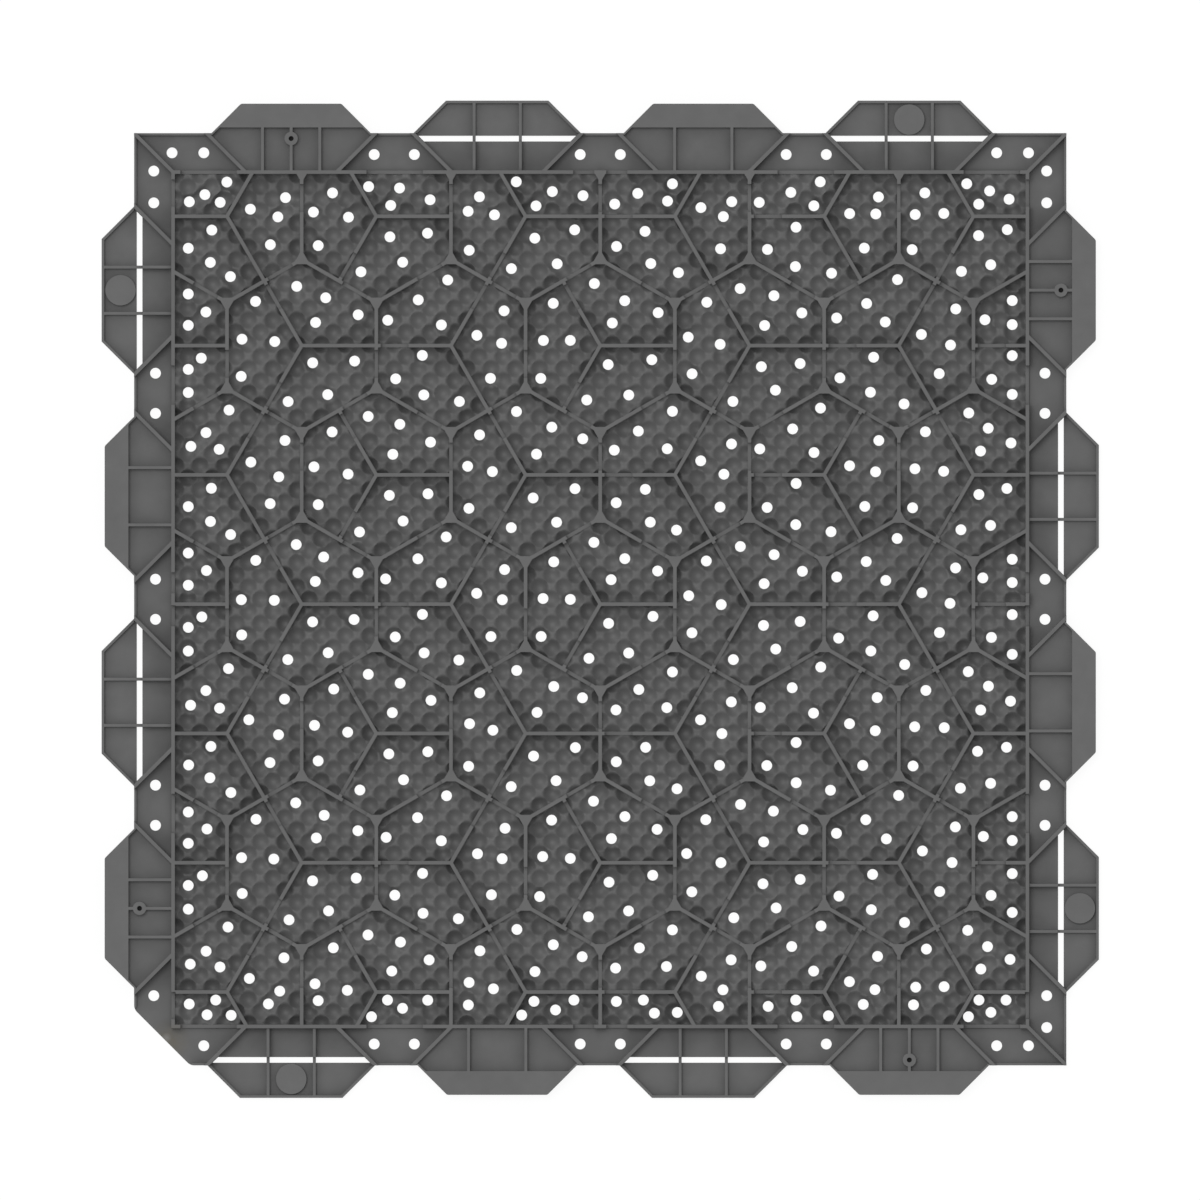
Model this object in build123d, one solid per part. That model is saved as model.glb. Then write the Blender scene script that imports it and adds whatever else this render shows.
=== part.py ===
"""Interlocking base panel that carries an artificial turf field, moulded in one piece.

The flat turf face is down, at z = 0, and +Z points to the ribbed face that lies on the
ground in use. The origin is the centre of the turf face. Each edge has four tabs in a
row, so that a panel hooks into its neighbours on all four sides: lipped tabs, raised
towards the ground, and slotted tabs, which lie at the turf face under the lipped ones.
"""

import math
import os
from itertools import combinations

from build123d import *

# Overall sizes, in millimetres
MODULE = 762.0
HEIGHT = 19.0
SKIN = 2.5

# Ribs
RIB = 3.0
FRAME_INSET = 31.9
RIM = 2.0
RIM_HEIGHT = 7.0
LOW_RIB_HEIGHT = 5.5
GUSSET = 4.5

# Hexagon lattice of ribs. Three spokes split each hexagon into pockets: kind R has one
# that points right, kind L one that points left, and the kinds repeat along a row.
HEX_PERIOD = 122.0
LATTICE_SHIFT = -4.0
CENTRED_ROW_KINDS = "RRLRRLL"
OFFSET_ROW_KINDS = "LRRLLR"
SMALLEST_POCKET = 150.0

# Low stretches of the lattice ribs, which let water cross from pocket to pocket
NOTCH_LENGTH = 22.7
NOTCH_FROM_CROSSING = 3.6
SWAPPED_NOTCHES = {(-3, 0), (-3, 1), (-2, 1), (-2, 2), (-1, 1), (0, 2)}

# Low stretches of the frame rib, measured along it from the middle of the panel
FRAME_LOW_ACROSS = ((5.0, 22.0), (145.0, 191.0), (297.0, 343.0))
FRAME_LOW_ALONG = ((5.0, 22.0), (159.0, 191.0), (321.0, 343.0))

# Drain holes
DRAIN_DIAMETER = 8.8
DRAIN_LEAST_WANDER = 1.0
DRAIN_MOST_WANDER = 3.0
DRAIN_SPACING = 14.0
DRAIN_TO_RIB = 0.8
DRAIN_TO_FRAME_ACROSS = 12.3
DRAIN_TO_FRAME_ALONG = 7.8
DRAIN_TO_HEX_SIDE = 10.0
DRAIN_TO_HEX_TIP = 17.0
DRAIN_LEAST_INWARD = 5.0
EDGE_DRAIN_OFFSET = 67.8
EDGE_DRAIN_INSET = 17.4
CORNER_DRAIN_OFFSETS = (71.5, 97.5)
CORNER_DRAIN_INSET = 16.0

# Drain holes of each kind of hexagon, from its centre: four in each of its three pockets
DRAINS = {
    "R": (
        ((45.5, 27.5), (10.5, 17.5), (20.5, 39.5), (-6.5, 49.5)),
        ((-37.0, 34.5), (-48.5, 6.5), (-24.5, 2.0), (-47.5, -25.5)),
        ((-12.0, -44.5), (8.5, -17.0), (23.0, -38.5), (41.5, -12.5)),
    ),
    "L": (
        ((-2.0, 53.0), (-8.0, 19.5), (-28.0, 36.0), (-50.5, 21.0)),
        ((-47.5, -25.5), (-23.0, -10.0), (-21.5, -39.0), (4.0, -46.5)),
        ((45.5, 27.5), (20.5, 10.0), (41.0, 1.0), (34.5, -25.5)),
    ),
}

# Tabs, in the order they come along each edge
TAB_PITCH = 168.4
WALL_HALF_WIDTH = 69.1
TAB_CLEARANCE = 0.5

# Lipped tab
LIP_REACH = 24.0
LIP_HALF_WIDTH = 41.0
LIP_THICKNESS = 2.5
LIP_CORNER = 3.0
HOOK_START = 4.5
HOOK_WALL = 2.5
LUG_BOTTOM = 1.0
LUG_TO_SLOT_END = 2.0
CELL_FLOOR = 2.5
CELL_RIB = 2.5
CELL_RIB_OFFSET = 23.4
CELL_SIDE_WALL = 1.5

# Boss with a blind pilot hole, on one lipped tab of each edge
BOSS_DIAMETER = 11.0
BOSS_INSET = 4.5
PILOT_DIAMETER = 4.0
PILOT_DEPTH = 6.0

# Slotted tab
PLATE_REACH = 26.6
PLATE_HALF_WIDTH = 41.9
PLATE_RIM = 2.2
PLATE_RIM_HEIGHT = 8.0
PLATE_RIB = 2.5
PLATE_RIB_OFFSET = 18.9
SLOT_START = 2.1
SLOT_WIDTH = 4.6
SLOT_TO_WALL = 0.5
DISC_DIAMETER = 25.0
DISC_REACH = 11.1

# Cut corner
CORNER_CUT = 45.8
CORNER_CUT_ROUND = 8.0

# How far a cutting solid runs past the face it opens, and how often holes are nudged
OVERLAP = 1.0
NUDGES = 8

HALF = MODULE / 2
FRAME = HALF - FRAME_INSET
FIELD = FRAME - RIB / 2
HEX_SIDE = HEX_PERIOD / math.sqrt(3)
ROW_PITCH = 1.5 * HEX_SIDE
CELL_DEPTH = FRAME_INSET - RIB / 2
WALL_SKEW = RIB / math.sqrt(2)
CELL_HALF_WIDTH = WALL_HALF_WIDTH - WALL_SKEW
TAB_PLACES = (-1.5 * TAB_PITCH, -0.5 * TAB_PITCH, 0.5 * TAB_PITCH, 1.5 * TAB_PITCH)
CELL_BOTTOM = PLATE_RIM_HEIGHT + TAB_CLEARANCE
CELL_TOP = CELL_BOTTOM + CELL_FLOOR
INNER_RIB_TOP = HEIGHT - LIP_THICKNESS - TAB_CLEARANCE
DRAINS_ACROSS = FRAME - DRAIN_TO_FRAME_ACROSS
DRAINS_ALONG = FRAME - DRAIN_TO_FRAME_ALONG
GOLDEN_ANGLE = 137.5

# The four edges have the same row of tabs, from left to right seen from the middle
LIPPED, BOSSED, SLOTTED, DISCED = "lipped", "bossed", "slotted", "disced"
TAB_ORDER = (BOSSED, SLOTTED, LIPPED, DISCED)
TOP, RIGHT, BOTTOM, LEFT = 0, -90, 180, 90
TURNS = (TOP, RIGHT, BOTTOM, LEFT)


def turned(point, angle):
    """A point of an edge's own frame, turned about the middle of the panel."""
    c = math.cos(math.radians(angle))
    s = math.sin(math.radians(angle))
    return (c * point[0] - s * point[1], s * point[0] + c * point[1])


def wire_through(points):
    """A closed outline through the given points, in the plane of the turf face."""
    return Wire.make_polygon([(x, y, 0) for x, y in points], close=True)


def raised(face, bottom, top):
    """A straight solid over a flat face, between two heights."""
    solid = Solid.extrude(face, Vector(0, 0, top - bottom))
    return solid.moved(Location((0, 0, bottom)))


def prism(points, bottom, top):
    """A straight solid over the outline through the points, between two heights."""
    return raised(Face(wire_through(points)), bottom, top)


def bar(start, end, width, bottom, top):
    """A straight rib from start to end, square at its ends."""
    (x0, y0), (x1, y1) = start, end
    length = math.hypot(x1 - x0, y1 - y0)
    side_x = -(y1 - y0) / length * width / 2
    side_y = (x1 - x0) / length * width / 2
    corners = (
        (x0 + side_x, y0 + side_y),
        (x0 - side_x, y0 - side_y),
        (x1 - side_x, y1 - side_y),
        (x1 + side_x, y1 + side_y),
    )
    return prism(corners, bottom, top)


def trapezoid(half_width, near, far):
    """The outline between two distances from an edge, its sides drawing in at 45 degrees.

    half_width is that of the sides where they meet the edge line.
    """
    near_half = half_width - abs(near)
    far_half = half_width - abs(far)
    return [(-near_half, near), (-far_half, far), (far_half, far), (near_half, near)]


def edge_outline(middle_of):
    """Points once round the panel, clockwise, with middle_of(kind) added at each tab."""
    points = []
    for turn in TURNS:
        start = -HALF + (CORNER_CUT if turn == LEFT else 0)
        row = [(start, HALF)]
        for place, kind in zip(TAB_PLACES, TAB_ORDER):
            row += [(place + u, HALF + v) for u, v in middle_of(kind)]
        if turn == BOTTOM:
            row.append((HALF - CORNER_CUT, HALF))
        points += [turned(p, turn) for p in row]
    return points


def is_lipped(kind):
    """True for the tabs that are raised and carry a lip."""
    return kind in (LIPPED, BOSSED)


def recess(half_width):
    """The notch that a tab makes in an outline, back to the frame rib."""
    return trapezoid(half_width, 0.0, -CELL_DEPTH)


def skin_middle(kind):
    """A lipped tab leaves the skin open below it, and a slotted tab carries it outward."""
    if is_lipped(kind):
        return recess(CELL_HALF_WIDTH)
    return trapezoid(PLATE_HALF_WIDTH + PLATE_REACH, 0.0, PLATE_REACH)


def wall_middle(kind):
    """The full-height walls leave every tab open, whatever its kind."""
    return recess(CELL_HALF_WIDTH)


def polar(centre, radius, angle):
    """The point at a distance and an angle, in degrees, from a centre."""
    x = centre[0] + radius * math.cos(math.radians(angle))
    y = centre[1] + radius * math.sin(math.radians(angle))
    return x, y


def hexagons():
    """Row, column, centre and kind of each hexagon that reaches into the field."""
    most_rows = math.ceil((FIELD + HEX_SIDE) / ROW_PITCH) + 1
    most_columns = math.ceil(FIELD / HEX_PERIOD) + 1
    first_column = -(len(CENTRED_ROW_KINDS) // 2)
    for row in range(-most_rows, most_rows + 1):
        offset = 0.5 if row % 2 else 0.0
        kinds = OFFSET_ROW_KINDS if row % 2 else CENTRED_ROW_KINDS
        y = LATTICE_SHIFT - row * ROW_PITCH
        for column in range(-most_columns, most_columns + 1):
            x = (column + offset) * HEX_PERIOD
            if abs(x) < FIELD + HEX_PERIOD / 2 and abs(y) < FIELD + HEX_SIDE:
                yield row, column, (x, y), kinds[(column - first_column) % len(kinds)]


def spoke_angles(kind):
    """Directions of the three spokes of a hexagon, in degrees."""
    return (0, 120, 240) if kind == "R" else (60, 180, 300)


def field_pocket(centre, angle, field):
    """The pocket between the spoke at an angle and the next, cut off at the frame."""
    corners = (
        centre,
        polar(centre, HEX_PERIOD / 2, angle),
        polar(centre, HEX_SIDE, angle + 30),
        polar(centre, HEX_SIDE, angle + 90),
        polar(centre, HEX_PERIOD / 2, angle + 120),
    )
    pocket = Face(wire_through(corners).offset_2d(-RIB / 2, kind=Kind.INTERSECTION))
    knots = corners[2:4]
    beside_knots = [
        v for v in pocket.vertices()
        if any(math.hypot(v.X - x, v.Y - y) < 2 * RIB for x, y in knots)
    ]
    pocket = pocket.chamfer_2d(GUSSET, GUSSET, beside_knots)
    inside = pocket & field
    return [f for f in inside.faces() if f.area > SMALLEST_POCKET] if inside else []


def field_pockets():
    """Outlines of the pockets between the lattice ribs, inside the frame."""
    square = [(-FIELD, -FIELD), (FIELD, -FIELD), (FIELD, FIELD), (-FIELD, FIELD)]
    field = Face(wire_through(square))
    outlines = []
    for _, _, centre, kind in hexagons():
        for angle in spoke_angles(kind):
            outlines += [f.outer_wire() for f in field_pocket(centre, angle, field)]
    return outlines


def cut_corner_pocket(rim_line):
    """Points of the one pocket round the cut corner, which has no corner rib."""
    last = TAB_PLACES[-1]
    wall = WALL_HALF_WIDTH + WALL_SKEW
    cut = CORNER_CUT - rim_line * (math.sqrt(2) - 1)
    one_side = [
        (last + wall - CELL_DEPTH, HALF - CELL_DEPTH),
        (last + wall + rim_line, HALF + rim_line),
        (HALF - cut, HALF + rim_line),
    ]
    other_side = [(v, u) for u, v in reversed(one_side)]
    points = [(HALF - CELL_DEPTH, HALF - CELL_DEPTH)] + one_side + other_side
    return [(-x, -y) for x, y in points]


def edge_pockets(rim_line):
    """Outlines of the plain pockets between the frame rib and the edge.

    rim_line is where they end, counted outward from the edge line.
    """
    pockets = [cut_corner_pocket(rim_line)]
    wall = WALL_HALF_WIDTH + WALL_SKEW
    last = TAB_PLACES[-1]
    for turn in TURNS:
        for left, right in zip(TAB_PLACES, TAB_PLACES[1:]):
            points = (
                (left + wall + rim_line, HALF + rim_line),
                (left + wall - CELL_DEPTH, HALF - CELL_DEPTH),
                (right - wall + CELL_DEPTH, HALF - CELL_DEPTH),
                (right - wall - rim_line, HALF + rim_line),
            )
            pockets.append([turned(p, turn) for p in points])
        corner = (
            (last + wall + rim_line, HALF + rim_line),
            (last + wall - CELL_DEPTH, HALF - CELL_DEPTH),
            (HALF - CELL_DEPTH - WALL_SKEW, HALF - CELL_DEPTH),
            (HALF + rim_line - WALL_SKEW, HALF + rim_line),
        )
        if turn != BOTTOM:
            pockets.append([turned(p, turn) for p in corner])
        if turn != LEFT:
            pockets.append([turned((-u, v), turn) for u, v in corner])
    return [wire_through(points) for points in pockets]


def slot_outlines():
    """Outlines of the slots: three in a row in each slotted tab, between its ribs."""
    near = -SLOT_START
    far = -SLOT_START - SLOT_WIDTH
    end = CELL_HALF_WIDTH - SLOT_TO_WALL
    side = PLATE_RIB_OFFSET + PLATE_RIB / 2
    middle = PLATE_RIB_OFFSET - PLATE_RIB / 2
    right = [(side, near), (side, far), (end + far, far), (end + near, near)]
    left = [(-u, v) for u, v in right]
    centre = [(-middle, near), (-middle, far), (middle, far), (middle, near)]
    outlines = []
    for turn in TURNS:
        for place, kind in zip(TAB_PLACES, TAB_ORDER):
            if not is_lipped(kind):
                for slot in (left, centre, right):
                    row = [turned((place + u, HALF + v), turn) for u, v in slot]
                    outlines.append(wire_through(row))
    return outlines


def wander(index):
    """A small uneven step, different for each drain hole of the field."""
    share = index * 7 % 10 / 9
    reach = DRAIN_LEAST_WANDER + share * (DRAIN_MOST_WANDER - DRAIN_LEAST_WANDER)
    return polar((0, 0), reach, index * GOLDEN_ANGLE)


def squeeze(value, centre, limit, span):
    """Draws a coordinate in where the frame cuts a hexagon short."""
    room = limit - abs(centre)
    outward = value * centre > 0
    return value * room / span if outward and 0 < room < span else value


def spread(points):
    """Moves drain holes of one pocket apart where two are too near each other."""
    points = list(points)
    for first, second in combinations(range(len(points)), 2):
        (x0, y0), (x1, y1) = points[first], points[second]
        gap = math.hypot(x1 - x0, y1 - y0)
        if gap < DRAIN_SPACING:
            share = (DRAIN_SPACING - gap) / gap / 2
            points[first] = (x0 - share * (x1 - x0), y0 - share * (y1 - y0))
            points[second] = (x1 + share * (x1 - x0), y1 + share * (y1 - y0))
    return points


def seat_in_pocket(point, centre, angle):
    """Moves a drain hole off the ribs round its pocket. The point is from the centre."""
    clear = RIB / 2 + DRAIN_DIAMETER / 2 + DRAIN_TO_RIB
    walls = [(polar((0, 0), 1, angle - 90), -clear), (polar((0, 0), 1, angle + 210), -clear)]
    walls += [
        (polar((0, 0), 1, angle + turn), HEX_PERIOD / 2 - clear) for turn in (0, 60, 120)
    ]
    x, y = point
    for (nx, ny), furthest in walls:
        over = max(0.0, nx * x + ny * y - furthest)
        x -= over * nx
        y -= over * ny
    x = min(DRAINS_ACROSS, max(-DRAINS_ACROSS, x + centre[0])) - centre[0]
    y = min(DRAINS_ALONG, max(-DRAINS_ALONG, y + centre[1])) - centre[1]
    return x, y


def pocket_drains(drains, centre, angle, first_index):
    """Centres of the drain holes of one pocket, from the pattern's places for it."""
    points = []
    for x, y in drains:
        inward = -x if centre[0] > 0 else x
        if abs(centre[0]) > FIELD and inward < DRAIN_LEAST_INWARD:
            continue
        step = wander(first_index + len(points))
        x = squeeze(x, centre[0], DRAINS_ACROSS, HEX_PERIOD / 2 - DRAIN_TO_HEX_SIDE)
        y = squeeze(y, centre[1], DRAINS_ALONG, HEX_SIDE - DRAIN_TO_HEX_TIP)
        points.append((x + step[0], y + step[1]))
    for _ in range(NUDGES):
        points = [seat_in_pocket(p, centre, angle) for p in spread(points)]
    return [(centre[0] + x, centre[1] + y) for x, y in points]


def field_drains():
    """Centres of the drain holes inside the frame."""
    points = []
    for _, _, centre, kind in hexagons():
        if abs(centre[1]) < FIELD:
            for angle, drains in zip(spoke_angles(kind), DRAINS[kind]):
                points += pocket_drains(drains, centre, angle, len(points))
    return points


def edge_drains():
    """Centres of the drain holes between the frame rib and the edge."""
    points = []
    for turn in TURNS:
        gaps = [place + EDGE_DRAIN_OFFSET for place in TAB_PLACES[:-1]]
        gaps += [place - EDGE_DRAIN_OFFSET for place in TAB_PLACES[1:]]
        points += [turned((u, HALF - EDGE_DRAIN_INSET), turn) for u in gaps]
        for offset in CORNER_DRAIN_OFFSETS:
            u = TAB_PLACES[-1] + offset
            beyond_cut = u > HALF - CORNER_CUT
            if not (turn == BOTTOM and beyond_cut):
                points.append(turned((u, HALF - CORNER_DRAIN_INSET), turn))
            if not (turn == LEFT and beyond_cut):
                points.append(turned((-u, HALF - CORNER_DRAIN_INSET), turn))
    return points


def drain_outline(centre):
    """The round outline of one drain hole."""
    return Wire.make_circle(DRAIN_DIAMETER / 2, Plane(origin=(centre[0], centre[1], 0)))


def cut_ends():
    """The two points where the cut across the corner meets the edges."""
    return (-HALF + CORNER_CUT, -HALF), (-HALF, -HALF + CORNER_CUT)


def round_cut_corner(face):
    """Rounds the two blunt corners where the cut meets the edges."""
    corners = [
        v for v in face.vertices()
        if any(math.hypot(v.X - x, v.Y - y) < OVERLAP for x, y in cut_ends())
    ]
    return face.fillet_2d(CORNER_CUT_ROUND, corners)


def make_skin():
    """The thin plate at the turf face, with the slotted tabs' plates, slots and drains."""
    outline = round_cut_corner(Face(wire_through(edge_outline(skin_middle))))
    holes = slot_outlines()
    holes += [drain_outline(p) for p in field_drains() + edge_drains()]
    return raised(Face(outline.outer_wire(), holes), 0.0, SKIN)


def notch_bar(start, end):
    """What is taken off a rib to leave it low from start to end."""
    return bar(start, end, RIB + OVERLAP, LOW_RIB_HEIGHT, HEIGHT + OVERLAP)


def lattice_notches():
    """Bars that lower the lattice ribs, each beside a crossing of two ribs."""
    bars = []
    for row, column, centre, kind in hexagons():
        down = row % 2 == 0
        swapped = (row, column) in SWAPPED_NOTCHES
        turns = [(0, -90 if down else 90), (60, -30), (300, 210 if swapped else 30)]
        turns += [(120, 300), (240, 60)] if kind == "R" else [(180, 0), (60, 240)]
        for side, direction in turns:
            crossing = polar(centre, HEX_PERIOD / 2, side)
            start = polar(crossing, NOTCH_FROM_CROSSING, direction)
            end = polar(start, NOTCH_LENGTH, direction)
            if max(abs(c) for c in start + end) < FIELD:
                bars.append(notch_bar(start, end))
    return bars


def frame_notches():
    """Bars that lower the frame rib, in the same places on opposite edges."""
    bars = []
    for turn in TURNS:
        spans = FRAME_LOW_ACROSS if turn in (TOP, BOTTOM) else FRAME_LOW_ALONG
        for near, far in spans:
            for way in (1, -1):
                start = turned((way * near, FRAME), turn)
                end = turned((way * far, FRAME), turn)
                bars.append(notch_bar(start, end))
    return bars


def make_walls():
    """The frame, the lattice, the slanting walls beside the tabs and the low outer rim.

    The cut across the corner is bare: it took the rim with it.
    """
    outline = round_cut_corner(Face(wire_through(edge_outline(wall_middle))))
    pockets = field_pockets() + edge_pockets(-RIM)
    walls = raised(Face(outline.outer_wire(), pockets), SKIN, HEIGHT)
    above_rim = [raised(Face(w), RIM_HEIGHT, HEIGHT + OVERLAP) for w in edge_pockets(OVERLAP)]
    cut_rim = bar(*cut_ends(), 2 * (RIM + OVERLAP), SKIN, HEIGHT)
    return walls.cut(*above_rim, cut_rim, *lattice_notches(), *frame_notches())


def lip_plate():
    """The plain outer lip of a lipped tab, with its two outer corners rounded."""
    width = LIP_HALF_WIDTH + LIP_REACH
    face = Face(wire_through(trapezoid(width, HOOK_START, LIP_REACH)))
    outer = [v for v in face.vertices() if v.Y > LIP_REACH - OVERLAP]
    return raised(face.fillet_2d(LIP_CORNER, outer), HEIGHT - LIP_THICKNESS, HEIGHT)


def lugs():
    """Three lugs below the hook wall, one for each slot of the neighbour's tab."""
    rib = PLATE_RIB_OFFSET + PLATE_RIB / 2 + LUG_TO_SLOT_END
    middle = PLATE_RIB_OFFSET - PLATE_RIB / 2 - LUG_TO_SLOT_END
    end = LIP_HALF_WIDTH + LIP_REACH - HOOK_START - HOOK_WALL - LUG_TO_SLOT_END
    near, far = HOOK_START, HOOK_START + HOOK_WALL
    solids = []
    for left, right in ((-end, -rib), (-middle, middle), (rib, end)):
        corners = ((left, near), (left, far), (right, far), (right, near))
        solids.append(prism(corners, LUG_BOTTOM, CELL_BOTTOM))
    return solids


def lipped_tab(has_boss):
    """A lipped tab in its edge's frame, with the middle of its root on the edge line."""
    width = LIP_HALF_WIDTH + LIP_REACH
    hook_end = HOOK_START + HOOK_WALL
    inside = recess(CELL_HALF_WIDTH)
    outside = trapezoid(width, 0.0, hook_end)
    floor = prism(inside[1:] + outside[::-1] + inside[:1], CELL_BOTTOM, CELL_TOP)
    hook = prism(trapezoid(width, HOOK_START, hook_end), CELL_BOTTOM, HEIGHT)
    solids = [floor, hook, lip_plate()] + lugs()
    for way in (1, -1):
        side = (
            (way * (width + CELL_SIDE_WALL), -CELL_SIDE_WALL),
            (way * (width - HOOK_START), HOOK_START),
            (way * (width - HOOK_START - CELL_SIDE_WALL * math.sqrt(2)), HOOK_START),
            (way * (width - CELL_SIDE_WALL * (math.sqrt(2) - 1)), -CELL_SIDE_WALL),
        )
        solids.append(prism(side, CELL_TOP, HEIGHT))
        u = way * CELL_RIB_OFFSET
        solids.append(bar((u, -CELL_DEPTH), (u, HOOK_START), CELL_RIB, CELL_TOP, HEIGHT))
    if has_boss:
        solids.append(bar((0, -CELL_DEPTH), (0, HOOK_START), CELL_RIB, CELL_TOP, HEIGHT))
        solids.append(round_post((0, -BOSS_INSET), BOSS_DIAMETER, CELL_TOP, HEIGHT))
        tab = solids[0].fuse(*solids[1:])
        pilot_bottom = HEIGHT - PILOT_DEPTH
        pilot_top = HEIGHT + OVERLAP
        return tab.cut(round_post((0, -BOSS_INSET), PILOT_DIAMETER, pilot_bottom, pilot_top))
    return solids[0].fuse(*solids[1:])


def round_post(centre, diameter, bottom, top):
    """An upright round post or bore."""
    height = top - bottom
    return Solid.make_cylinder(diameter / 2, height, Plane(origin=(*centre, bottom)))


def slotted_tab(has_disc):
    """The rim, ribs and disc on a slotted tab's plate, in its edge's frame."""
    width = PLATE_HALF_WIDTH + PLATE_REACH
    outer = trapezoid(width, 0.0, PLATE_REACH)
    inner = trapezoid(width - PLATE_RIM * math.sqrt(2), 0.0, PLATE_REACH - PLATE_RIM)
    rim = prism(outer + inner[::-1], SKIN, PLATE_RIM_HEIGHT)
    solids = [rim]
    slot_end = -SLOT_START - SLOT_WIDTH
    plate_end = PLATE_REACH - PLATE_RIM
    for way in (1, -1):
        u = way * PLATE_RIB_OFFSET
        solids.append(bar((u, slot_end), (u, plate_end), PLATE_RIB, SKIN, PLATE_RIM_HEIGHT))
        solids.append(bar((u, -CELL_DEPTH), (u, slot_end), PLATE_RIB, SKIN, INNER_RIB_TOP))
    if has_disc:
        solids.append(round_post((0, DISC_REACH), DISC_DIAMETER, SKIN, PLATE_RIM_HEIGHT))
    return solids


def make_tabs():
    """Every tab at its place on its edge."""
    kinds = {
        LIPPED: [lipped_tab(False)],
        BOSSED: [lipped_tab(True)],
        SLOTTED: slotted_tab(False),
        DISCED: slotted_tab(True),
    }
    solids = []
    for turn in TURNS:
        for place, kind in zip(TAB_PLACES, TAB_ORDER):
            spot = Location((0, 0, 0), (0, 0, turn)) * Location((place, HALF, 0))
            solids += [solid.moved(spot) for solid in kinds[kind]]
    return solids


def make_panel():
    """The whole panel as one solid."""
    panel = make_skin().fuse(make_walls(), *make_tabs())
    return panel.clean()


os.makedirs("parts", exist_ok=True)
export_step(make_panel(), "parts/base_panel.step")
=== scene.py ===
"""The look of the turf base panel: its moulded plastic, its dished pocket floors and a stage.

Run as a script. Each piece has an operator, and the sidebar panel lists them all.
"""

import math

import bpy
import numpy as np
from bpy.props import FloatProperty, FloatVectorProperty, IntProperty, PointerProperty
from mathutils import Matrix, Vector


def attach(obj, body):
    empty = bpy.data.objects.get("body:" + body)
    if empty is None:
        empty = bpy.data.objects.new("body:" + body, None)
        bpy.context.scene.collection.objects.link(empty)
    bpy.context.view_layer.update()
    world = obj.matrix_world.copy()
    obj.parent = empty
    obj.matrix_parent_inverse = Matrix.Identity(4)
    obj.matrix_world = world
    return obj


bl_info = {
    "name": "Turf base panel",
    "version": (1, 0, 0),
    "blender": (4, 5, 0),
    "location": "3D View > Sidebar > Panel",
    "description": "Finishes the ribbed turf base panel and sets it on a pale stage",
    "category": "Object",
}

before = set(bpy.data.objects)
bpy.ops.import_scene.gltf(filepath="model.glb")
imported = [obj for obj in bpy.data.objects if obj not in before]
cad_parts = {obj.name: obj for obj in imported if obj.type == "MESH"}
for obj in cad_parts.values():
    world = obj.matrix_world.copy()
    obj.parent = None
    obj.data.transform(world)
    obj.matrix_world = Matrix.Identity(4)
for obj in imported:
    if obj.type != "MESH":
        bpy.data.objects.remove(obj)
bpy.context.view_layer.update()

PANEL_NODE = "base_panel"
BODY = "root"

# The panel's own sizes, in metres
SKIN_TOP = 0.0025
FRAME_LINE = 0.3491
LARGEST_DRAIN = 0.02
ROUND_ENOUGH = 0.1

QUARTERS = (
    ("back_right", 1, 1),
    ("back_left", -1, 1),
    ("front_left", -1, -1),
    ("front_right", 1, -1),
)

# The blind pilot hole of each boss
PILOT_RADIUS = 0.00195
PILOT_FLOOR = 0.013
PILOT_SHADE_LIFT = 0.0001
PILOT_SIDES = 24
PILOT_PLACES = ((-0.2526, 0.3765), (0.3765, 0.2526), (0.2526, -0.3765), (-0.3765, -0.2526))

# The worn marks at the cut corner: centre x, centre y, radius, gain and colour
STAIN = (-0.352, -0.361, 0.018, 1.2, (0.115, 0.098, 0.062, 1.0))
SCUFF = (-0.3545, -0.3585, 0.0042, 2.0, (0.21, 0.205, 0.195, 1.0))
WEAR_LIMIT = 0.8

# Each lamp: the setting of its strength, its angle from straight above, its width, its shadow
LAMPS = (("key_strength", 10.0, 24.0, True), ("side_strength", 58.0, 20.0, False))
LAMP_AZIMUTH = 135.0

# Stage
WHITE = (1.0, 1.0, 1.0, 1.0)
FLOOR_COLOUR = (0.97, 0.97, 0.97, 1.0)
FLOOR_WHITE = 1.04
FLOOR_REACH = 40.0
CAMERA_PLACE = (-0.0002, -0.0006)
CAMERA_RANGE = 200.0
SENSOR_WIDTH = 36.0

# Plastic
SHADE_SWING = 4.0
GLOSS_SWING = 0.16
SMOOTH_ANGLE = 40.0


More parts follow.
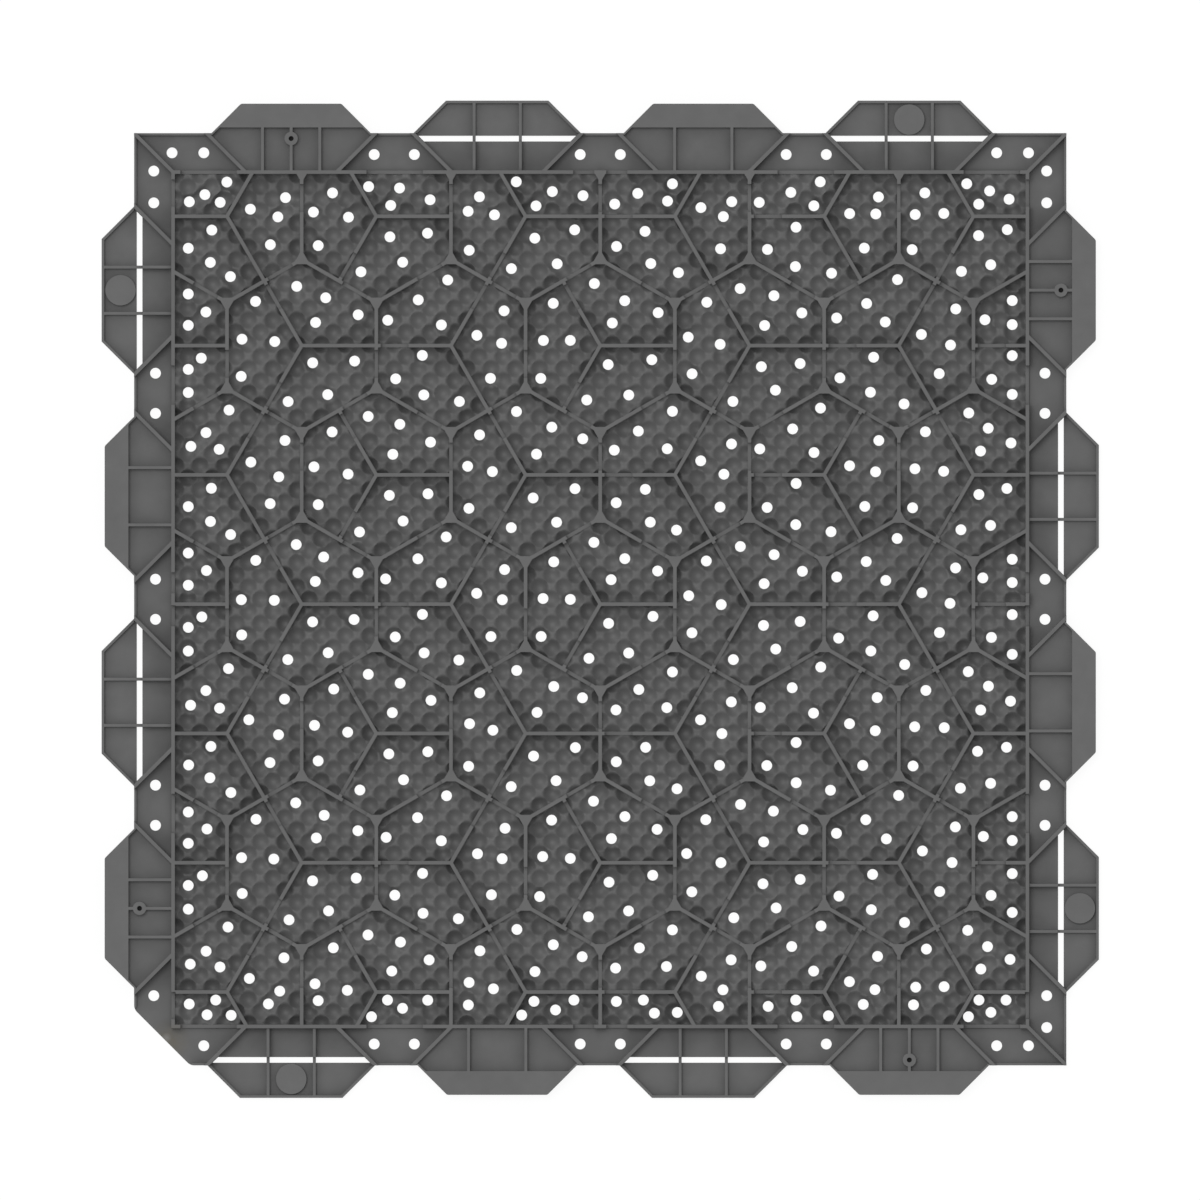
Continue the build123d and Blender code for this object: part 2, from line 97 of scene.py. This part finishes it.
class PlasticSettings(bpy.types.PropertyGroup):
    """The moulded plastic of the whole panel."""

    colour: FloatVectorProperty(
        name="Colour",
        description="Colour of the clean plastic",
        subtype="COLOR",
        size=4,
        min=0.0,
        max=1.0,
        default=(0.107, 0.107, 0.107, 1.0),
    )
    roughness: FloatProperty(
        name="Roughness",
        description="Roughness of the moulded face",
        subtype="FACTOR",
        min=0.0,
        max=1.0,
        default=0.47,
    )
    specular: FloatProperty(
        name="Specular",
        description="Strength of the plastic's gloss, 0.5 being that of a clean one",
        subtype="FACTOR",
        min=0.0,
        max=1.0,
        default=0.35,
    )
    mottle: FloatProperty(
        name="Mottle",
        description="How far the colour wanders where the plastic flowed",
        subtype="FACTOR",
        min=0.0,
        max=1.0,
        default=0.06,
    )
    # Painted shade: how much the colour is darkened in hollows and beside the ribs, where shade
    # falls
    painted_shade_amount: FloatProperty(
        name="Hollow shade",
        description="How much the painted shade darkens the colour in hollows and beside the ribs",
        subtype="FACTOR",
        min=0.0,
        max=1.0,
        default=0.65,
    )
    # Painted shade: how far from a rib the darkened colour reaches
    painted_shade_reach: FloatProperty(
        name="Painted shade reach",
        description="How far from a rib the painted shade reaches",
        subtype="DISTANCE",
        unit="LENGTH",
        min=0.0001,
        default=0.022,
    )
    grain_size: FloatProperty(
        name="Grain size",
        description="Width of one grain of the mould's fine texture",
        subtype="DISTANCE",
        unit="LENGTH",
        min=0.0001,
        default=0.0006,
    )
    grain_depth: FloatProperty(
        name="Grain depth",
        description="Depth of the mould's fine texture",
        subtype="DISTANCE",
        unit="LENGTH",
        min=0.0,
        default=0.00003,
    )
    edge_radius: FloatProperty(
        name="Edge radius",
        description="Rounding of the moulded edges",
        subtype="DISTANCE",
        unit="LENGTH",
        min=0.0,
        default=0.0004,
    )


class DishSettings(bpy.types.PropertyGroup):
    """The shallow dishes pressed into the floors of the pockets."""

    half_pitch: FloatProperty(
        name="Half pitch",
        description="Step between dish centres along each side of the panel, every other one kept",
        subtype="DISTANCE",
        unit="LENGTH",
        min=0.001,
        default=0.009916,
    )
    ridge_height: FloatProperty(
        name="Ridge height",
        description="Height of the ridge between two dishes above their middles",
        subtype="DISTANCE",
        unit="LENGTH",
        min=0.0,
        default=0.0023,
    )
    drain_slope: FloatProperty(
        name="Drain slope",
        description="Width of the ring round each drain hole where the floor slopes down to it",
        subtype="DISTANCE",
        unit="LENGTH",
        min=0.0001,
        default=0.0032,
    )
    steps: IntProperty(
        name="Steps",
        description="Mesh steps along half a pitch",
        min=2,
        max=9,
        default=7,
    )
    floor_gap: FloatProperty(
        name="Floor gap",
        description="Height of the dish middles above the flat skin below them",
        subtype="DISTANCE",
        unit="LENGTH",
        min=0.0,
        default=0.00005,
    )
    collar_depth: FloatProperty(
        name="Collar depth",
        description="How far the wall of a drain hole reaches down into the skin",
        subtype="DISTANCE",
        unit="LENGTH",
        min=0.0,
        default=0.0002,
    )


class StageSettings(bpy.types.PropertyGroup):
    """The floor, the lamps and the camera."""

    key_strength: FloatProperty(
        name="Key lamp",
        description="Strength of the broad lamp almost straight above",
        min=0.0,
        default=1.05,
    )
    side_strength: FloatProperty(
        name="Side lamp",
        description="Strength of the lamp low at the upper left, which throws no shadow",
        min=0.0,
        default=0.75,
    )
    sky_strength: FloatProperty(
        name="Sky",
        description="Strength of the even light from all round",
        min=0.0,
        default=0.45,
    )
    floor_glow: FloatProperty(
        name="Floor glow",
        description="Share of the floor's white that the camera sees whatever the shadow",
        subtype="FACTOR",
        min=0.0,
        max=1.0,
        default=0.85,
    )
    camera_height: FloatProperty(
        name="Camera height",
        description="Distance from the camera to the floor, straight below it",
        subtype="DISTANCE",
        unit="LENGTH",
        min=1.0,
        default=40.0,
    )
    view_width: FloatProperty(
        name="View width",
        description="Width of what the picture takes in",
        subtype="DISTANCE",
        unit="LENGTH",
        min=0.1,
        default=0.9811,
    )


SETTINGS = (
    ("turf_plastic", PlasticSettings),
    ("turf_dishes", DishSettings),
    ("turf_stage", StageSettings),
)


def new_group(name, inputs, outputs):
    """An empty shader node group with the given sockets, and its two end nodes."""
    group = bpy.data.node_groups.new(name, "ShaderNodeTree")
    for label, kind, value in inputs:
        socket = group.interface.new_socket(label, in_out="INPUT", socket_type=kind)
        socket.default_value = value
    for label, kind in outputs:
        group.interface.new_socket(label, in_out="OUTPUT", socket_type=kind)
    return group, group.nodes.new("NodeGroupInput"), group.nodes.new("NodeGroupOutput")


def add_node(tree, kind, **settings):
    """A node with its settings, and any input given by name as a plain value."""
    node = tree.nodes.new(kind)
    for key, value in settings.items():
        if key in node.inputs:
            node.inputs[key].default_value = value
        else:
            setattr(node, key, value)
    return node


def maths(tree, operation, first, second):
    """A Math node of two values or sockets. Returns its result."""
    node = tree.nodes.new("ShaderNodeMath")
    node.operation = operation
    for socket, value in zip(node.inputs, (first, second)):
        if isinstance(value, (int, float)):
            socket.default_value = value
        else:
            tree.links.new(value, socket)
    return node.outputs[0]


def moulded_surface_group():
    """Flow mottle, uneven gloss and fine grain of a plastic moulding, by place."""
    name = "Moulded surface"
    if name in bpy.data.node_groups:
        return bpy.data.node_groups[name]
    group, start, end = new_group(
        name,
        (
            ("Colour", "NodeSocketColor", (0.1, 0.1, 0.1, 1.0)),
            ("Roughness", "NodeSocketFloat", 0.5),
            ("Mottle", "NodeSocketFloat", 0.05),
            ("Grain Size", "NodeSocketFloat", 0.0006),
        ),
        (
            ("Colour", "NodeSocketColor"),
            ("Roughness", "NodeSocketFloat"),
            ("Grain", "NodeSocketFloat"),
        ),
    )
    link = group.links.new
    place = add_node(group, "ShaderNodeTexCoord").outputs["Object"]

    flow = add_node(group, "ShaderNodeTexNoise", Scale=22.0, Detail=5.0, Roughness=0.55)
    link(place, flow.inputs["Vector"])
    swing = maths(group, "SUBTRACT", flow.outputs["Fac"], 0.5)
    swing = maths(group, "MULTIPLY", swing, start.outputs["Mottle"])
    shade = maths(group, "ADD", maths(group, "MULTIPLY", swing, SHADE_SWING), 1.0)
    tint = add_node(group, "ShaderNodeVectorMath", operation="SCALE")
    link(start.outputs["Colour"], tint.inputs[0])
    link(shade, tint.inputs["Scale"])
    link(tint.outputs["Vector"], end.inputs["Colour"])

    gloss = add_node(group, "ShaderNodeTexNoise", Scale=70.0, Detail=3.0, Roughness=0.6)
    link(place, gloss.inputs["Vector"])
    uneven = maths(group, "SUBTRACT", gloss.outputs["Fac"], 0.5)
    uneven = maths(group, "MULTIPLY", uneven, GLOSS_SWING)
    link(maths(group, "ADD", start.outputs["Roughness"], uneven), end.inputs["Roughness"])

    grain = add_node(group, "ShaderNodeTexNoise", Detail=2.0, Roughness=0.5)
    link(place, grain.inputs["Vector"])
    link(maths(group, "DIVIDE", 1.0, start.outputs["Grain Size"]), grain.inputs["Scale"])
    link(grain.outputs["Fac"], end.inputs["Grain"])
    return group


def nearness(tree, place, x, y, radius):
    """A mask that is 1 at a spot's middle and falls to 0 at its radius."""
    flat = add_node(tree, "ShaderNodeVectorMath", operation="MULTIPLY_ADD")
    tree.links.new(place, flat.inputs[0])
    flat.inputs[1].default_value = (1 / radius, 1 / radius, 0.0)
    flat.inputs[2].default_value = (-x / radius, -y / radius, 0.0)
    length = add_node(tree, "ShaderNodeVectorMath", operation="LENGTH")
    tree.links.new(flat.outputs["Vector"], length.inputs[0])
    fall = maths(tree, "SUBTRACT", 1.0, length.outputs["Value"])
    return maths(tree, "MAXIMUM", fall, 0.0)


def worn_corner_group():
    """The brownish stain and the pale scuff at the cut corner, over a given colour."""
    name = "Worn corner"
    if name in bpy.data.node_groups:
        return bpy.data.node_groups[name]
    group, start, end = new_group(
        name,
        (("Colour", "NodeSocketColor", (0.1, 0.1, 0.1, 1.0)),),
        (("Colour", "NodeSocketColor"),),
    )
    link = group.links.new
    place = add_node(group, "ShaderNodeTexCoord").outputs["Object"]
    blotch = add_node(group, "ShaderNodeTexNoise", Scale=160.0, Detail=3.0, Roughness=0.6)
    link(place, blotch.inputs["Vector"])
    colour = start.outputs["Colour"]
    for x, y, radius, gain, tint in (STAIN, SCUFF):
        near = nearness(group, place, x, y, radius)
        amount = maths(group, "MULTIPLY", near, blotch.outputs["Fac"])
        amount = maths(group, "MINIMUM", maths(group, "MULTIPLY", amount, gain), WEAR_LIMIT)
        mix = add_node(group, "ShaderNodeMix", data_type="RGBA")
        first, second = (socket for socket in mix.inputs if socket.type == "RGBA")
        link(amount, mix.inputs["Factor"])
        link(colour, first)
        second.default_value = tint
        colour = next(socket for socket in mix.outputs if socket.type == "RGBA")
    link(colour, end.inputs["Colour"])
    return group


def painted_shade_group():
    """Painted shade: a colour made darker in hollows and beside walls by an occlusion mask,
    standing in for the shade that falls there.
    """
    name = "Hollow shade"
    if name in bpy.data.node_groups:
        return bpy.data.node_groups[name]
    group, start, end = new_group(
        name,
        (
            ("Colour", "NodeSocketColor", (0.1, 0.1, 0.1, 1.0)),
            ("Amount", "NodeSocketFloat", 0.5),
            ("Reach", "NodeSocketFloat", 0.02),
        ),
        (("Colour", "NodeSocketColor"),),
    )
    link = group.links.new
    # The occlusion mask finds hollows and the feet of walls, where shade falls, and the colour is
    # painted darker there
    openness = add_node(group, "ShaderNodeAmbientOcclusion", samples=8)
    link(start.outputs["Reach"], openness.inputs["Distance"])
    hidden = maths(group, "SUBTRACT", 1.0, openness.outputs["AO"])
    left = maths(group, "SUBTRACT", 1.0, maths(group, "MULTIPLY", hidden, start.outputs["Amount"]))
    darker = add_node(group, "ShaderNodeVectorMath", operation="SCALE")
    link(start.outputs["Colour"], darker.inputs[0])
    link(left, darker.inputs["Scale"])
    link(darker.outputs["Vector"], end.inputs["Colour"])
    return group


def plastic_material(name, rounded):
    """The panel's plastic. A rounded one also softens its moulded edges."""
    settings = bpy.context.scene.turf_plastic
    material = bpy.data.materials.new(name)
    material.use_nodes = True
    tree = material.node_tree
    shader = tree.nodes["Principled BSDF"]
    shader.inputs["Specular IOR Level"].default_value = settings.specular
    surface = tree.nodes.new("ShaderNodeGroup")
    surface.node_tree = moulded_surface_group()
    surface.inputs["Colour"].default_value = settings.colour
    surface.inputs["Roughness"].default_value = settings.roughness
    surface.inputs["Mottle"].default_value = settings.mottle
    surface.inputs["Grain Size"].default_value = settings.grain_size
    worn = tree.nodes.new("ShaderNodeGroup")
    worn.node_tree = worn_corner_group()
    tree.links.new(surface.outputs["Colour"], worn.inputs["Colour"])
    # Painted shade: the colour is darkened in hollows and beside the ribs, where shade falls
    painted_shade_node = tree.nodes.new("ShaderNodeGroup")
    painted_shade_node.node_tree = painted_shade_group()
    painted_shade_node.inputs["Amount"].default_value = settings.painted_shade_amount
    painted_shade_node.inputs["Reach"].default_value = settings.painted_shade_reach
    tree.links.new(worn.outputs["Colour"], painted_shade_node.inputs["Colour"])
    tree.links.new(painted_shade_node.outputs["Colour"], shader.inputs["Base Color"])
    tree.links.new(surface.outputs["Roughness"], shader.inputs["Roughness"])
    bump = add_node(tree, "ShaderNodeBump", Strength=1.0, Distance=settings.grain_depth)
    tree.links.new(surface.outputs["Grain"], bump.inputs["Height"])
    if rounded:
        bevel = add_node(tree, "ShaderNodeBevel", samples=4, Radius=settings.edge_radius)
        tree.links.new(bevel.outputs["Normal"], bump.inputs["Normal"])
    tree.links.new(bump.outputs["Normal"], shader.inputs["Normal"])
    return material


def turf_face_outlines(panel):
    """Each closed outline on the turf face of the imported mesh, as points in the plane."""
    mesh = panel.data
    places = np.empty(len(mesh.vertices) * 3)
    mesh.vertices.foreach_get("co", places)
    places = np.round(places.reshape(-1, 3), 6)
    mesh.calc_loop_triangles()
    corners = np.empty(len(mesh.loop_triangles) * 3, np.int64)
    mesh.loop_triangles.foreach_get("vertices", corners)
    points, same = np.unique(places, axis=0, return_inverse=True)
    triangles = same.reshape(-1)[corners].reshape(-1, 3)
    low = np.abs(points[:, 2] - points[:, 2].min()) < 1e-6
    triangles = triangles[low[triangles].all(axis=1)]
    sides = np.vstack([triangles[:, [0, 1]], triangles[:, [1, 2]], triangles[:, [2, 0]]])
    keys, counts = np.unique(np.sort(sides, axis=1), axis=0, return_counts=True)
    neighbours = {}
    for a, b in keys[counts == 1].tolist():
        neighbours.setdefault(a, []).append(b)
        neighbours.setdefault(b, []).append(a)
    outlines, seen = [], set()
    for first in sorted(neighbours):
        if first in seen:
            continue
        outline, waiting = [], [first]
        while waiting:
            point = waiting.pop()
            if point not in seen:
                seen.add(point)
                outline.append(point)
                waiting += neighbours[point]
        outlines.append(points[outline][:, :2])
    return outlines


def drain_circles(panel):
    """Centre x, centre y and radius of each round hole through the skin."""
    circles = []
    for outline in turf_face_outlines(panel):
        low, high = outline.min(axis=0), outline.max(axis=0)
        wide, deep = high - low
        if wide < LARGEST_DRAIN and abs(wide - deep) < ROUND_ENOUGH * wide:
            circles.append((*((low + high) / 2), (wide + deep) / 4))
    return circles


def dish_height(x, y, settings):
    """Height of the dished floor above the middles of its dishes, which touch each other."""
    along = (x + y) / (2 * settings.half_pitch)
    across = (x - y) / (2 * settings.half_pitch)
    off_middle = np.hypot(along - np.round(along), across - np.round(across))
    share = np.minimum(off_middle / 0.5, 1.0)
    return settings.ridge_height * share**2


def snap_to_circle(points, fixed, triangles, circle):
    """Moves the nearer end of each side that crosses a circle onto the circle."""
    centre = np.array(circle[:2])
    radius = circle[2]
    away = points - centre
    distance = np.hypot(away[:, 0], away[:, 1])
    near = np.flatnonzero(distance < radius * 2.5)
    is_near = np.zeros(len(points), bool)
    is_near[near] = True
    close = triangles[is_near[triangles].any(axis=1)]
    for a, b in ((0, 1), (1, 2), (2, 0)):
        first, second = close[:, a], close[:, b]
        crossing = (distance[first] - radius) * (distance[second] - radius) < 0
        first, second = first[crossing], second[crossing]
        nearer = np.where(
            np.abs(distance[first] - radius) < np.abs(distance[second] - radius), first, second
        )
        for index in np.unique(nearer):
            if not fixed[index]:
                points[index] = centre + away[index] / distance[index] * radius
                fixed[index] = True


class PANEL_OT_plastic(bpy.types.Operator):
    """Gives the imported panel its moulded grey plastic"""

    bl_idname = "turf.plastic"
    bl_label = "Moulded plastic"

    def execute(self, context):
        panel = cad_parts[PANEL_NODE]
        panel.data.materials.clear()
        panel.data.materials.append(plastic_material("Grey moulded plastic", True))
        return {"FINISHED"}


class PANEL_OT_dished_floors(bpy.types.Operator):
    """Lays the dished floors into the pockets, with the drain holes left open"""

    bl_idname = "turf.dished_floors"
    bl_label = "Dished pocket floors"

    def execute(self, context):
        settings = context.scene.turf_dishes
        circles = drain_circles(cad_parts[PANEL_NODE])
        if not circles:
            raise RuntimeError("the packed panel has no drain holes")
        material = plastic_material("Dished floor plastic", False)
        for name, way_x, way_y in QUARTERS:
            floor = self.quarter(name, way_x, way_y, circles, settings)
            floor.data.materials.append(material)
            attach(floor, BODY)
        return {"FINISHED"}

    def quarter(self, name, way_x, way_y, circles, settings):
        """The dished floor of one quarter of the field."""
        step = settings.half_pitch / settings.steps
        count = int(FRAME_LINE / step)
        index = np.arange(count + 1)
        column, row = np.meshgrid(index * way_x, index * way_y)
        points = np.column_stack([column.ravel() * step, row.ravel() * step])
        corner = (np.arange(count)[:, None] * (count + 1) + np.arange(count)).ravel()
        a, b, c, d = corner, corner + 1, corner + count + 2, corner + count + 1
        split = self.rising(column.ravel(), row.ravel(), a, c, settings.steps)
        triangles = np.vstack(
            [
                np.column_stack([a, b, c])[split],
                np.column_stack([a, c, d])[split],
                np.column_stack([a, b, d])[~split],
                np.column_stack([b, c, d])[~split],
            ]
        )
        if way_x * way_y < 0:
            triangles = triangles[:, ::-1]

        fixed = np.zeros(len(points), bool)
        ring = np.full(len(points), -1)
        reach = settings.half_pitch
        kept = np.ones(len(triangles), bool)
        for number, (x, y, radius) in enumerate(circles):
            if x * way_x < -reach or y * way_y < -reach:
                continue
            if abs(x) > FRAME_LINE or abs(y) > FRAME_LINE:
                continue
            box = (np.abs(points[triangles[:, 0], 0] - x) < 3 * radius) & (
                np.abs(points[triangles[:, 0], 1] - y) < 3 * radius
            )
            near = np.flatnonzero(box)
            before = fixed.copy()
            snap_to_circle(points, fixed, triangles[near], (x, y, radius))
            ring[fixed & ~before] = number
            middle = points[triangles[near]].mean(axis=1)
            inside = np.hypot(middle[:, 0] - x, middle[:, 1] - y) < radius
            kept[near[inside]] = False
        triangles = triangles[kept]

        height = dish_height(points[:, 0], points[:, 1], settings)
        height *= self.share_left_by_drains(points, circles, settings)
        top = SKIN_TOP + settings.floor_gap + height
        vertices = np.column_stack([points, top])
        collar, low_vertices = self.collar(vertices, triangles, ring, settings)
        vertices = np.vstack([vertices, low_vertices])
        faces = triangles.tolist() + collar
        used = np.zeros(len(vertices), bool)
        for face in collar:
            used[face] = True
        used[triangles] = True
        renumber = np.cumsum(used) - 1
        faces = [[int(renumber[i]) for i in face] for face in faces]
        mesh = bpy.data.meshes.new("dished_floor_" + name)
        mesh.from_pydata(vertices[used].tolist(), [], faces)
        mesh.validate()
        mesh.shade_smooth()
        mesh.set_sharp_from_angle(angle=math.radians(SMOOTH_ANGLE))
        floor = bpy.data.objects.new("dished_floor_" + name, mesh)
        bpy.context.scene.collection.objects.link(floor)
        return floor

    def share_left_by_drains(self, points, circles, settings):
        """How much of the dish height is left at each point: none at a drain hole's rim."""
        share = np.ones(len(points))
        for x, y, radius in circles:
            reach = radius + settings.drain_slope
            away = points - (x, y)
            near = np.flatnonzero((np.abs(away) < reach).all(axis=1))
            outside = np.hypot(away[near, 0], away[near, 1]) - radius
            left = np.clip(outside / settings.drain_slope, 0.0, 1.0)
            share[near] = np.minimum(share[near], left)
        return share

    def rising(self, column, row, low, high, steps):
        """True for the squares whose split runs the same way as the nearest ridge."""
        along = (column[low] + row[low] + column[high] + row[high]) / (4 * steps)
        across = (column[low] - row[low] + column[high] - row[high]) / (4 * steps)
        from_falling = np.abs(along - np.round(along))
        from_rising = np.abs(across - np.round(across))
        rising_ridge_nearer = from_rising > from_falling
        same_way = (column[high] - column[low]) * (row[high] - row[low]) > 0
        return rising_ridge_nearer == same_way

    def collar(self, vertices, triangles, ring, settings):
        """The walls of the drain holes, from the dished floor down into the skin."""
        sides = np.vstack([triangles[:, [0, 1]], triangles[:, [1, 2]], triangles[:, [2, 0]]])
        _, where, counts = np.unique(
            np.sort(sides, axis=1), axis=0, return_index=True, return_counts=True
        )
        open_sides = sides[where[counts == 1]]
        numbers = ring[open_sides]
        on_hole = (numbers[:, 0] >= 0) & (numbers[:, 0] == numbers[:, 1])
        open_sides = open_sides[on_hole]
        top = np.unique(open_sides)
        low = vertices[top].copy()
        low[:, 2] = SKIN_TOP - settings.collar_depth
        place = dict(zip(top.tolist(), range(len(vertices), len(vertices) + len(top))))
        faces = [[b, a, place[a], place[b]] for a, b in open_sides.tolist()]
        return faces, low


class PANEL_OT_pilot_shade(bpy.types.Operator):
    """Darkens the floors of the blind pilot holes, which light hardly reaches"""

    bl_idname = "turf.pilot_shade"
    bl_label = "Pilot hole shade"

    def execute(self, context):
        material = bpy.data.materials.new("Pilot hole shade")
        material.use_nodes = True
        shader = material.node_tree.nodes["Principled BSDF"]
        shader.inputs["Base Color"].default_value = (0.02, 0.02, 0.02, 1.0)
        shader.inputs["Roughness"].default_value = 0.8
        shader.inputs["Specular IOR Level"].default_value = 0.1
        vertices, faces = [], []
        for x, y in PILOT_PLACES:
            first = len(vertices)
            for turn in range(PILOT_SIDES):
                angle = math.tau * turn / PILOT_SIDES
                across = x + PILOT_RADIUS * math.cos(angle)
                up = y + PILOT_RADIUS * math.sin(angle)
                vertices.append((across, up, PILOT_FLOOR + PILOT_SHADE_LIFT))
            faces.append(list(range(first, first + PILOT_SIDES)))
        mesh = bpy.data.meshes.new("pilot_shade")
        mesh.from_pydata(vertices, [], faces)
        mesh.materials.append(material)
        shade = bpy.data.objects.new("pilot_shade", mesh)
        bpy.context.scene.collection.objects.link(shade)
        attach(shade, BODY)
        return {"FINISHED"}


class PANEL_OT_stage(bpy.types.Operator):
    """Sets up the pale floor, the soft lamps and the camera straight above"""

    bl_idname = "turf.stage"
    bl_label = "Floor, lamps and camera"

    def execute(self, context):
        settings = context.scene.turf_stage
        self.floor(settings)
        self.sky(settings)
        self.lamps(settings)
        self.camera(settings)
        return {"FINISHED"}

    def floor(self, settings):
        """A wide pale floor that keeps the panel's shadow."""
        reach = FLOOR_REACH
        mesh = bpy.data.meshes.new("floor")
        corners = [(-reach, -reach, 0), (reach, -reach, 0), (reach, reach, 0), (-reach, reach, 0)]
        mesh.from_pydata(corners, [], [(0, 1, 2, 3)])
        floor = bpy.data.objects.new("floor", mesh)
        bpy.context.scene.collection.objects.link(floor)
        material = bpy.data.materials.new("Pale floor")
        material.use_nodes = True
        tree = material.node_tree
        shader = tree.nodes["Principled BSDF"]
        shader.inputs["Base Color"].default_value = FLOOR_COLOUR
        shader.inputs["Roughness"].default_value = 0.9
        shader.inputs["Specular IOR Level"].default_value = 0.0
        white = add_node(tree, "ShaderNodeEmission", Strength=FLOOR_WHITE)
        white.inputs["Color"].default_value = WHITE
        path = tree.nodes.new("ShaderNodeLightPath")
        seen = maths(tree, "MAXIMUM", path.outputs["Is Camera Ray"], path.outputs["Is Glossy Ray"])
        seen = maths(tree, "MAXIMUM", seen, path.outputs["Is Transmission Ray"])
        share = maths(tree, "MULTIPLY", seen, settings.floor_glow)
        mix = tree.nodes.new("ShaderNodeMixShader")
        tree.links.new(share, mix.inputs["Fac"])
        tree.links.new(shader.outputs["BSDF"], mix.inputs[1])
        tree.links.new(white.outputs["Emission"], mix.inputs[2])
        tree.links.new(mix.outputs["Shader"], tree.nodes["Material Output"].inputs["Surface"])
        mesh.materials.append(material)

    def sky(self, settings):
        """Even light from all round, which the camera sees as white."""
        world = bpy.data.worlds.new("Even sky")
        bpy.context.scene.world = world
        world.use_nodes = True
        tree = world.node_tree
        even = tree.nodes["Background"]
        even.inputs["Color"].default_value = WHITE
        even.inputs["Strength"].default_value = settings.sky_strength
        white = add_node(tree, "ShaderNodeBackground", Strength=1.0)
        white.inputs["Color"].default_value = WHITE
        path = tree.nodes.new("ShaderNodeLightPath")
        mix = tree.nodes.new("ShaderNodeMixShader")
        tree.links.new(path.outputs["Is Camera Ray"], mix.inputs["Fac"])
        tree.links.new(even.outputs["Background"], mix.inputs[1])
        tree.links.new(white.outputs["Background"], mix.inputs[2])
        tree.links.new(mix.outputs["Shader"], tree.nodes["World Output"].inputs["Surface"])

    def lamps(self, settings):
        """Broad far lamps towards the upper left, so each rib shades the floor beside it."""
        azimuth = math.radians(LAMP_AZIMUTH)
        for label, from_above, width, throws_shadow in LAMPS:
            data = bpy.data.lights.new(label, "SUN")
            data.use_shadow = throws_shadow
            data.angle = math.radians(width)
            data.energy = getattr(settings, label)
            lamp = bpy.data.objects.new(label, data)
            bpy.context.scene.collection.objects.link(lamp)
            tilt = math.radians(from_above)
            towards = Vector((math.cos(azimuth), math.sin(azimuth), 0)) * math.sin(tilt)
            towards.z = math.cos(tilt)
            lamp.rotation_mode = "QUATERNION"
            lamp.rotation_quaternion = towards.to_track_quat("Z", "Y")

    def camera(self, settings):
        """A long lens straight above, so that the ribs stand upright in the picture."""
        data = bpy.data.cameras.new("camera")
        data.sensor_width = SENSOR_WIDTH
        data.lens = data.sensor_width * settings.camera_height / settings.view_width
        data.clip_end = CAMERA_RANGE
        camera = bpy.data.objects.new("camera", data)
        camera.location = (*CAMERA_PLACE, settings.camera_height)
        bpy.context.scene.collection.objects.link(camera)
        bpy.context.scene.camera = camera


class PANEL_PT_sidebar(bpy.types.Panel):
    """Lists the steps that finish the panel, with their settings."""

    bl_idname = "PANEL_PT_sidebar"
    bl_label = "Turf base panel"
    bl_space_type = "VIEW_3D"
    bl_region_type = "UI"
    bl_category = "Panel"

    def draw(self, context):
        layout = self.layout
        for operator in OPERATORS:
            layout.operator(operator.bl_idname)
        for name, group in SETTINGS:
            box = layout.box()
            settings = getattr(context.scene, name)
            for key in group.__annotations__:
                box.prop(settings, key)


OPERATORS = (
    PANEL_OT_plastic,
    PANEL_OT_dished_floors,
    PANEL_OT_pilot_shade,
    PANEL_OT_stage,
)


def register():
    """Registers every class, and hangs the settings on the scene."""
    for _, group in SETTINGS:
        bpy.utils.register_class(group)
    for operator in OPERATORS:
        bpy.utils.register_class(operator)
    bpy.utils.register_class(PANEL_PT_sidebar)
    for name, group in SETTINGS:
        setattr(bpy.types.Scene, name, PointerProperty(type=group))


def unregister():
    """Takes back what register did."""
    for name, _ in SETTINGS:
        delattr(bpy.types.Scene, name)
    bpy.utils.unregister_class(PANEL_PT_sidebar)
    for operator in reversed(OPERATORS):
        bpy.utils.unregister_class(operator)
    for _, group in reversed(SETTINGS):
        bpy.utils.unregister_class(group)


def main():
    """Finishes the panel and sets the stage."""
    register()
    scene = bpy.context.scene
    scene.view_settings.view_transform = "Standard"
    bpy.ops.turf.plastic()
    bpy.ops.turf.dished_floors()
    bpy.ops.turf.pilot_shade()
    bpy.ops.turf.stage()
    bpy.context.view_layer.update()


if __name__ == "__main__":
    main()
